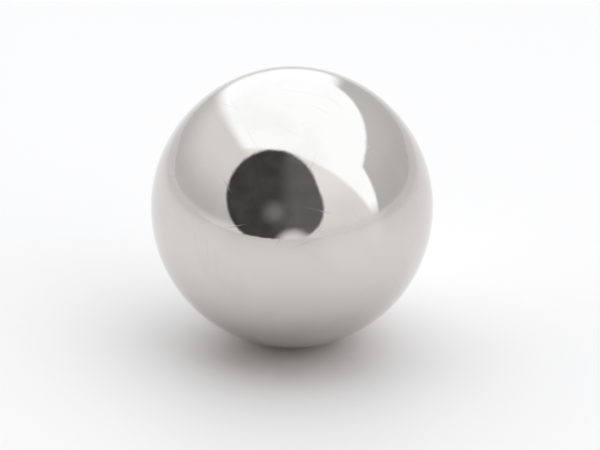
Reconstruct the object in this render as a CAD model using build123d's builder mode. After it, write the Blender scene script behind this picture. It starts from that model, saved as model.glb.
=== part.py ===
from build123d import *
import os

# Sphere magnet: one ball of sintered magnet, ground round and then plated all over.
# Millimetres, +Z up. The origin is the ball's centre, and its magnetic axis runs along Z.

# The only size that a ball has, measured over its plating
ball_diameter = 5.0

# The magnet ball: a full sphere with no flat, hole or seam, the same from every side
with BuildPart() as magnet_ball:
    Sphere(radius=ball_diameter / 2)
magnet_ball.part.label = "magnet_ball"

# One file for the one solid
os.makedirs("parts", exist_ok=True)
export_step(magnet_ball.part, "parts/magnet_ball.step")
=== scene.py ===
import math

import bmesh
import bpy
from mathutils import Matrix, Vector, noise


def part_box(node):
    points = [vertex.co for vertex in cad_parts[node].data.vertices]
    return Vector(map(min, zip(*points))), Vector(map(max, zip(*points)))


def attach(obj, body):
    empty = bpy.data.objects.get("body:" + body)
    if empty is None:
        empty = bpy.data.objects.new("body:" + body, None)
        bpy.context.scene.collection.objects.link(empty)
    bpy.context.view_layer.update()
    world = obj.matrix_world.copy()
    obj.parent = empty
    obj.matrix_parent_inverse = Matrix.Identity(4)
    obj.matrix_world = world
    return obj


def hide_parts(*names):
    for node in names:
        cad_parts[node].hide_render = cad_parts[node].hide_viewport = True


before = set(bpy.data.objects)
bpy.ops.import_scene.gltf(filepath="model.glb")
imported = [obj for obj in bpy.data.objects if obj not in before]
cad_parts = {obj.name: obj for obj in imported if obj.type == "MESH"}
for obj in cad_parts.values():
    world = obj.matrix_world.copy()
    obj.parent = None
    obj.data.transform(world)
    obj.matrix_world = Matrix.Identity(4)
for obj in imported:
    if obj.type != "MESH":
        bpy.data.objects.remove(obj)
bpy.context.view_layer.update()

# The ball's place and size come from the frame
NODE = "magnet_ball"
node_low, node_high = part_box(NODE)
centre = (node_low + node_high) / 2
radius = (node_high - node_low).z / 2
floor_height = centre.z - radius

MICRON = 1e-6
MILLIMETRE = 1e-3

# The ball's mesh is a cube blown up to a sphere, with this many faces along each edge of the cube
FACES_ALONG_EDGE = 96

# How far the ground and plated surface strays from a true sphere: (height, width) of each swell.
# Each swell is taken one step further on in the noise, so that no two are alike.
SWELLS = (
    (5 * MICRON, 1.9 * MILLIMETRE),
    (1 * MICRON, 0.6 * MILLIMETRE),
)
SWELL_STEP = Vector((7.3, 1.9, 4.1))

# The plating's orange peel, scratches and pits. A scratch is whole up to one distance from its middle
# and gone at another, both in spacings. Scratches and pits have their full depth over their core,
# which is a share of their width.
PEEL_SIZE = 0.12 * MILLIMETRE
PEEL_DETAIL = 2
PEEL_HEIGHT = 0.5 * MICRON
SCRATCH_SPACINGS = (0.6 * MILLIMETRE, 0.9 * MILLIMETRE, 1.4 * MILLIMETRE)
SCRATCH_WHOLE = 0.2
SCRATCH_GONE = 0.5
SCRATCH_HALF_WIDTH = 9 * MICRON
SCRATCH_DEPTH = 0.1 * MICRON
PIT_SPACING = 0.55 * MILLIMETRE
PIT_RADIUS = 20 * MICRON
PIT_DEPTH = 0.6 * MICRON
MARK_CORE = 0.3

# Lots say which share of the cells has a scratch. A cell's lot is its random colour, weighted and added
# up, less any whole number.
SCRATCH_SHARE = 0.6
LOT_WEIGHTS = (17, 29, 41)

# The plating's haze lies in soft clouds: it begins and is full at these levels of their noise
HAZE_SIZE = 1.1 * MILLIMETRE
HAZE_DETAIL = 4
HAZE_LEVELS = (0.48, 0.7)

# The plating's colour and roughness where it is clean, where it is hazy, and in scratches and pits
CLEAN_COLOUR = (0.665, 0.64, 0.61, 1)
HAZY_COLOUR = (0.635, 0.61, 0.58, 1)
MARKED_COLOUR = (0.62, 0.595, 0.565, 1)
CLEAN_ROUGHNESS = 0.045
HAZY_ROUGHNESS = 0.08
MARKED_ROUGHNESS = 0.22

# The floor is flat round the ball, sweeps up a little far from it, and ends a little way before it
FLOOR_REACH = 330 * MILLIMETRE
FLOOR_FLAT = 150 * MILLIMETRE
FLOOR_SWEEP = 18 * MILLIMETRE
FLOOR_FRONT = 40 * MILLIMETRE
FLOOR_FACES = 96

# The floor's paper colour, with painted shade that darkens it between two distances from the ball's
# middle, standing in for the light falling off far from the ball
PAINTED_SHADE_DISTANCES = (6 * MILLIMETRE, 100 * MILLIMETRE)
PAPER_NEAR = (0.925, 0.895, 0.876, 1)
PAPER_PAINTED_SHADE = (0.76, 0.735, 0.72, 1)
PAPER_ROUGHNESS = 0.4
PAPER_GLOSS = 0.05

# The light tent round the ball. Its directions are (turn, rise) in degrees, seen from the ball: turn 0
# is towards the camera and 90 to its right. Levels are brightness: 1 renders white paper white. Two
# levels go with two rises, and the brightness runs from one level to the other between those rises.
BACK_RISES = (1, 12)
BACK_LEVELS = (0.95, 1.58)

# The tent's floor gives way to its back and cards between these rises
FLOOR_RISES = (-1, 5)
FLOOR_LEVEL = 0.92

# The tent's grey wall cards. A card lies on the side of its edges' directions, ends at right angles to
# them, and fades there over some degrees. Each edge is (turn, rise, fade).
FRONT_CARD = {"edges": ((-20, -24, 4),), "rises": (0, 45), "levels": (1.0, 1.16)}
LEFT_CARD = {"edges": ((-79, -36, 7), (-120, 0, 20)), "rises": (5, 35), "levels": (0.68, 0.97)}
RIGHT_CARD = {
    "edges": ((164, -7, 3), (111, -51, 3), (83, -20, 5)),
    "rises": (5, 45),
    "levels": (0.64, 0.77),
}

# The tent's dark camera opening: two discs, each (turn, rise, radius), which run together where they
# come within some degrees of each other. Its edge fades over some degrees too.
OPENING_LEFT = (-19.5, 29.5, 37.5)
OPENING_RIGHT = (2, 19, 23.5)
OPENING_JOIN = 10
OPENING_FADE = 3

# It is dark and a little cloudy in the opening, and paler to the right of some turns
CLOUD_SCALE = 5
CLOUD_DETAIL = 2
CLOUD_RANGE = (0.2, 0.85)
CLOUD_LEVELS = (0.055, 0.085)
RIGHT_TURNS = (-19, 5)
RIGHT_LIFT = 0.09

# One paler spot in the opening, and a blurred pale bump that covers part of its foot. The bump covers
# it fully this many degrees inside the bump's edge, and not at all this many outside.
OPENING_SPOT = (-15, 16.5, 13)
SPOT_LIFT = 0.16
OPENING_BUMP = (1.5, -12, 13.5)
BUMP_INSIDE = 4
BUMP_OUTSIDE = 5

# The lamps shine through the roof, so the tent turns a cooler white between these levels
LAMPLIT_LEVELS = (1.15, 1.45)
WALL_WHITE = (0.99, 0.995, 1.0, 1)
ROOF_WHITE = (0.923, 0.962, 1.0, 1)

# The photograph's frame, and where the object stands in it
FRAME_WIDTH = 600
FRAME_HEIGHT = 450
OBJECT_PIXELS = 282
OBJECT_AT = (292, 207)

# The camera looks down a little through a long lens. The nearest and farthest that it sees are its own
# distance from the ball, divided by the clip ratio and times it.
CAMERA_ELEVATION = math.radians(22)
LENS = 200
SENSOR = 36
CLIP_RATIO = 100


def surface_height(direction):
    """How far the surface lies above the true sphere in this direction, in metres."""
    height = 0
    for seed, (swell, width) in enumerate(SWELLS):
        shift = SWELL_STEP * (seed + 1)
        height += swell * noise.noise(direction * radius / width + shift)
    return height


def make_ball():
    """The ball: a divided cube blown up to a sphere, with the slight swells of a ground surface."""
    shape = bmesh.new()
    bmesh.ops.create_cube(shape, size=2)
    cuts = FACES_ALONG_EDGE - 1
    bmesh.ops.subdivide_edges(shape, edges=shape.edges[:], cuts=cuts, use_grid_fill=True)
    for vertex in shape.verts:
        # Equal steps of angle keep the faces near one size all over
        direction = Vector([math.tan(along * math.pi / 4) for along in vertex.co]).normalized()
        vertex.co = centre + direction * (radius + surface_height(direction))
    for face in shape.faces:
        face.smooth = True
    mesh = bpy.data.meshes.new("plated_ball")
    shape.to_mesh(mesh)
    shape.free()
    ball = bpy.data.objects.new("plated_ball", mesh)
    bpy.context.scene.collection.objects.link(ball)
    return ball


class Nodes:
    """Adds nodes to a tree and links them, each in one call."""

    def __init__(self, tree):
        self.tree = tree
        tree.nodes.clear()

    def add(self, kind, inputs=None, **settings):
        """A node with these settings, and these inputs as values or as the sockets that feed them."""
        node = self.tree.nodes.new(kind)
        for name, value in settings.items():
            setattr(node, name, value)
        for key, value in (inputs or {}).items():
            self.feed(node.inputs[key], value)
        return node

    def feed(self, socket, value):
        """Sets a socket to a value, or links it to another socket."""
        if isinstance(value, bpy.types.NodeSocket):
            self.tree.links.new(value, socket)
        else:
            socket.default_value = value

    def maths(self, operation, first, second=0.0, third=0.0):
        """The result of a sum on numbers or sockets."""
        node = self.add("ShaderNodeMath", {0: first, 1: second, 2: third}, operation=operation)
        return node.outputs[0]

    def vector(self, operation, first, second=(0, 0, 0)):
        """The vector that a sum on vectors or sockets gives."""
        node = self.add("ShaderNodeVectorMath", {0: first, 1: second}, operation=operation)
        return node.outputs["Vector"]

    def dot(self, first, second):
        """The dot product of two vectors."""
        node = self.add("ShaderNodeVectorMath", {0: first, 1: second}, operation="DOT_PRODUCT")
        return node.outputs["Value"]

    def length(self, vector):
        """The length of a vector."""
        node = self.add("ShaderNodeVectorMath", {0: vector}, operation="LENGTH")
        return node.outputs["Value"]

    def clouds(self, place, scale, detail):
        """Soft clouds of noise between 0 and 1."""
        inputs = {"Vector": place, "Scale": scale, "Detail": detail}
        return self.add("ShaderNodeTexNoise", inputs).outputs["Fac"]

    def cells(self, place, spacing):
        """The outputs of a texture of cells scattered about this far apart."""
        return self.add("ShaderNodeTexVoronoi", {"Vector": place, "Scale": 1 / spacing}).outputs

    def ramp(self, value, start, end, low=0.0, high=1.0):
        """A smooth step from low to high as value goes from start to end."""
        inputs = {0: value, 1: start, 2: end, 3: low, 4: high}
        node = self.add("ShaderNodeMapRange", inputs, interpolation_type="SMOOTHSTEP")
        return node.outputs[0]

    def blend(self, share, first, second):
        """first where share is 0 and second where it is 1, for numbers."""
        return self.add("ShaderNodeMix", {0: share, 2: first, 3: second}, data_type="FLOAT").outputs[0]

    def tint(self, share, first, second):
        """first where share is 0 and second where it is 1, for colours."""
        return self.add("ShaderNodeMix", {0: share, 6: first, 7: second}, data_type="RGBA").outputs[2]


class PlateNodes(Nodes):
    """The plating's nodes, with its haze and its small marks placed by the point on the ball."""

    def __init__(self, tree):
        super().__init__(tree)
        self.place = self.add("ShaderNodeTexCoord").outputs["Object"]
        self.outward = self.vector("SUBTRACT", self.place, centre)

    def haze(self):
        """1 where the plating is hazy and 0 where it is clean."""
        return self.ramp(self.clouds(self.place, 1 / HAZE_SIZE, HAZE_DETAIL), *HAZE_LEVELS)

    def peel(self):
        """The height of the orange peel, in metres."""
        return self.maths("MULTIPLY", self.clouds(self.place, 1 / PEEL_SIZE, PEEL_DETAIL), PEEL_HEIGHT)

    def hairlines(self, spacing):
        """1 along short scratches about this far apart, each at its own angle, and 0 beside them."""
        # Shifted by whole spacings, so that the scratches' cells aren't those of the pits made larger
        where = self.vector("ADD", self.place, (spacing, 2 * spacing, 3 * spacing))
        cells = self.cells(where, spacing)
        angle = self.vector("SUBTRACT", cells["Color"], (0.5, 0.5, 0.5))
        # Measured along the surface, so that no scratch smears where its plane only grazes the ball
        sideways = self.vector("NORMALIZE", self.vector("CROSS_PRODUCT", angle, self.outward))
        across = self.dot(self.vector("SUBTRACT", where, cells["Position"]), sideways)
        core = MARK_CORE * SCRATCH_HALF_WIDTH
        line = self.ramp(self.maths("ABSOLUTE", across), SCRATCH_HALF_WIDTH, core)
        ends = self.ramp(cells["Distance"], SCRATCH_GONE, SCRATCH_WHOLE)
        lot = self.maths("FRACT", self.dot(cells["Color"], LOT_WEIGHTS))
        kept = self.maths("LESS_THAN", lot, SCRATCH_SHARE)
        return self.maths("MULTIPLY", self.maths("MULTIPLY", line, ends), kept)

    def scratches(self):
        """1 along the scratches of every spacing, and 0 beside them."""
        scratches = 0.0
        for spacing in SCRATCH_SPACINGS:
            scratches = self.maths("MAXIMUM", scratches, self.hairlines(spacing))
        return scratches

    def pits(self):
        """1 in small round pits, and 0 beside them."""
        reach = self.maths("MULTIPLY", self.cells(self.place, PIT_SPACING)["Distance"], PIT_SPACING)
        return self.ramp(reach, PIT_RADIUS, MARK_CORE * PIT_RADIUS)


def new_material(name, kind=Nodes):
    """A material with an empty node tree, and the helper of this kind that fills it."""
    material = bpy.data.materials.new(name)
    material.use_nodes = True
    return material, kind(material.node_tree)


def nickel_plate():
    """Bright nickel plate: a mirror with soft haze, orange peel, hairline scratches and a few pits."""
    material, nodes = new_material("nickel_plate", PlateNodes)
    haze = nodes.haze()
    scratches = nodes.scratches()
    pits = nodes.pits()
    marks = nodes.maths("MAXIMUM", scratches, pits)

    even_colour = nodes.tint(haze, CLEAN_COLOUR, HAZY_COLOUR)
    colour = nodes.tint(marks, even_colour, MARKED_COLOUR)
    even_roughness = nodes.blend(haze, CLEAN_ROUGHNESS, HAZY_ROUGHNESS)
    roughness = nodes.blend(marks, even_roughness, MARKED_ROUGHNESS)

    scored = nodes.maths("SUBTRACT", nodes.peel(), nodes.maths("MULTIPLY", scratches, SCRATCH_DEPTH))
    surface = nodes.maths("SUBTRACT", scored, nodes.maths("MULTIPLY", pits, PIT_DEPTH))
    bump = nodes.add("ShaderNodeBump", {"Height": surface, "Distance": 1.0, "Strength": 1.0})
    shader = nodes.add(
        "ShaderNodeBsdfPrincipled",
        {"Base Color": colour, "Metallic": 1.0, "Roughness": roughness, "Normal": bump.outputs[0]},
    )
    nodes.add("ShaderNodeOutputMaterial", {"Surface": shader.outputs[0]})
    return material


def floor_sheet():
    """White paper with a faint gloss, and painted shade that makes it greyer far from the ball,
    standing in for the light falling off there.
    """
    material, nodes = new_material("floor_sheet")
    place = nodes.add("ShaderNodeTexCoord").outputs["Object"]
    # Painted shade: the paper's colour darkens with distance from the ball, standing in for the light
    # falling off far from it
    painted_shade = nodes.ramp(nodes.length(place), *PAINTED_SHADE_DISTANCES)
    colour = nodes.tint(painted_shade, PAPER_NEAR, PAPER_PAINTED_SHADE)
    shader = nodes.add(
        "ShaderNodeBsdfPrincipled",
        {"Base Color": colour, "Roughness": PAPER_ROUGHNESS, "Specular IOR Level": PAPER_GLOSS},
    )
    nodes.add("ShaderNodeOutputMaterial", {"Surface": shader.outputs[0]})
    return material


def make_floor():
    """A plain pale floor, level with the ball's lowest point."""
    shape = bmesh.new()
    bmesh.ops.create_grid(shape, x_segments=FLOOR_FACES, y_segments=FLOOR_FACES, size=FLOOR_REACH)
    for vertex in shape.verts:
        past = max(0, vertex.co.length - FLOOR_FLAT) / (FLOOR_REACH - FLOOR_FLAT)
        vertex.co.z = floor_height + FLOOR_SWEEP * past ** 2
    everything = shape.verts[:] + shape.edges[:] + shape.faces[:]
    front = Vector((0, -1, 0))
    bmesh.ops.bisect_plane(
        shape, geom=everything, plane_co=front * FLOOR_FRONT, plane_no=front, clear_outer=True
    )
    for face in shape.faces:
        face.smooth = True
    mesh = bpy.data.meshes.new("floor")
    shape.to_mesh(mesh)
    shape.free()
    mesh.materials.append(floor_sheet())
    floor = bpy.data.objects.new("floor", mesh)
    bpy.context.scene.collection.objects.link(floor)


def aim(turn, rise):
    """The direction at this turn and rise, in degrees."""
    across = math.cos(math.radians(rise))
    to_right = math.sin(math.radians(turn)) * across
    to_camera = math.cos(math.radians(turn)) * across
    return Vector((to_right, -to_camera, math.sin(math.radians(rise))))


class TentNodes(Nodes):
    """The world's nodes, with the turn and rise in degrees of each direction seen from the ball."""

    def __init__(self, tree):
        super().__init__(tree)
        self.towards = self.add("ShaderNodeTexCoord").outputs["Generated"]
        to_right, to_back, up = self.add("ShaderNodeSeparateXYZ", {0: self.towards}).outputs
        to_camera = self.maths("MULTIPLY", to_back, -1.0)
        self.rise = self.degrees("ARCSINE", up)
        self.turn = self.degrees("ARCTAN2", to_right, to_camera)

    def degrees(self, operation, first, second=0.0):
        """An angle in degrees, from a sum that gives it in radians."""
        return self.maths("MULTIPLY", self.maths(operation, first, second), 180 / math.pi)

    def side(self, turn, rise, fade):
        """1 on this side of a straight edge seen from the ball, fading over this many degrees."""
        past = self.degrees("ARCSINE", self.dot(self.towards, aim(turn, rise)))
        return self.ramp(past, -fade / 2, fade / 2)

    def inside(self, turn, rise, size):
        """How many degrees inside a disc round this direction each direction lies."""
        apart = self.degrees("ARCCOSINE", self.dot(self.towards, aim(turn, rise)))
        return self.maths("SUBTRACT", size, apart)

    def card(self, edges):
        """1 on a wall card with these edges, and 0 beside it."""
        share = 1.0
        for edge in edges:
            share = self.maths("MULTIPLY", share, self.side(*edge))
        return share

    def walls(self):
        """How bright the tent is: a white roof and back, greyer cards and a pale floor."""
        level = self.ramp(self.rise, *BACK_RISES, *BACK_LEVELS)
        for card in (FRONT_CARD, LEFT_CARD, RIGHT_CARD):
            shade = self.ramp(self.rise, *card["rises"], *card["levels"])
            level = self.blend(self.card(card["edges"]), level, shade)
        return self.blend(self.ramp(self.rise, *FLOOR_RISES), FLOOR_LEVEL, level)

    def opening(self):
        """1 where the camera opening shows, and 0 round it and on the bump at its foot."""
        left = self.inside(*OPENING_LEFT)
        right = self.inside(*OPENING_RIGHT)
        either = self.maths("SMOOTH_MAX", left, right, OPENING_JOIN)
        shown = self.ramp(either, -OPENING_FADE / 2, OPENING_FADE / 2)
        clear = self.ramp(self.inside(*OPENING_BUMP), BUMP_INSIDE, -BUMP_OUTSIDE)
        return self.maths("MULTIPLY", shown, clear)

    def dark(self):
        """How bright it is in the camera opening."""
        cloudy = self.clouds(self.towards, CLOUD_SCALE, CLOUD_DETAIL)
        level = self.ramp(cloudy, *CLOUD_RANGE, *CLOUD_LEVELS)
        level = self.maths("ADD", level, self.ramp(self.turn, *RIGHT_TURNS, 0, RIGHT_LIFT))
        turn, rise, size = OPENING_SPOT
        spot = self.ramp(self.inside(turn, rise, size), 0, size, 0, SPOT_LIFT)
        return self.maths("ADD", level, spot)


def studio():
    """A light tent: a white roof and back, greyer walls, and a dark opening for the camera."""
    world = bpy.data.worlds.new("studio")
    bpy.context.scene.world = world
    world.use_nodes = True
    nodes = TentNodes(world.node_tree)
    level = nodes.blend(nodes.opening(), nodes.walls(), nodes.dark())
    colour = nodes.tint(nodes.ramp(level, *LAMPLIT_LEVELS), WALL_WHITE, ROOF_WHITE)
    light = nodes.add("ShaderNodeBackground", {"Color": colour, "Strength": level})
    nodes.add("ShaderNodeOutputWorld", {"Surface": light.outputs[0]})


def make_camera():
    """The camera at the photograph's viewing angle, with the ball where the object stands in it."""
    data = bpy.data.cameras.new("camera")
    data.lens = LENS
    data.sensor_width = SENSOR
    camera = bpy.data.objects.new("camera", data)
    bpy.context.scene.collection.objects.link(camera)
    bpy.context.scene.camera = camera
    pixel = 2 * radius / OBJECT_PIXELS
    distance = pixel * FRAME_WIDTH * LENS / SENSOR
    back = Vector((0, -math.cos(CAMERA_ELEVATION), math.sin(CAMERA_ELEVATION)))
    right = Vector((1, 0, 0))
    above = back.cross(right)
    aside = (FRAME_WIDTH / 2 - OBJECT_AT[0]) * pixel
    lower = (FRAME_HEIGHT / 2 - OBJECT_AT[1]) * pixel
    target = centre + right * aside - above * lower
    camera.location = target + back * distance
    camera.rotation_mode = "QUATERNION"
    camera.rotation_quaternion = back.to_track_quat("Z", "Y")
    data.clip_start = distance / CLIP_RATIO
    data.clip_end = distance * CLIP_RATIO


ball = make_ball()
ball.data.materials.append(nickel_plate())
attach(ball, "root")
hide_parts(NODE)

make_floor()
studio()
make_camera()
bpy.context.scene.view_settings.view_transform = "Standard"
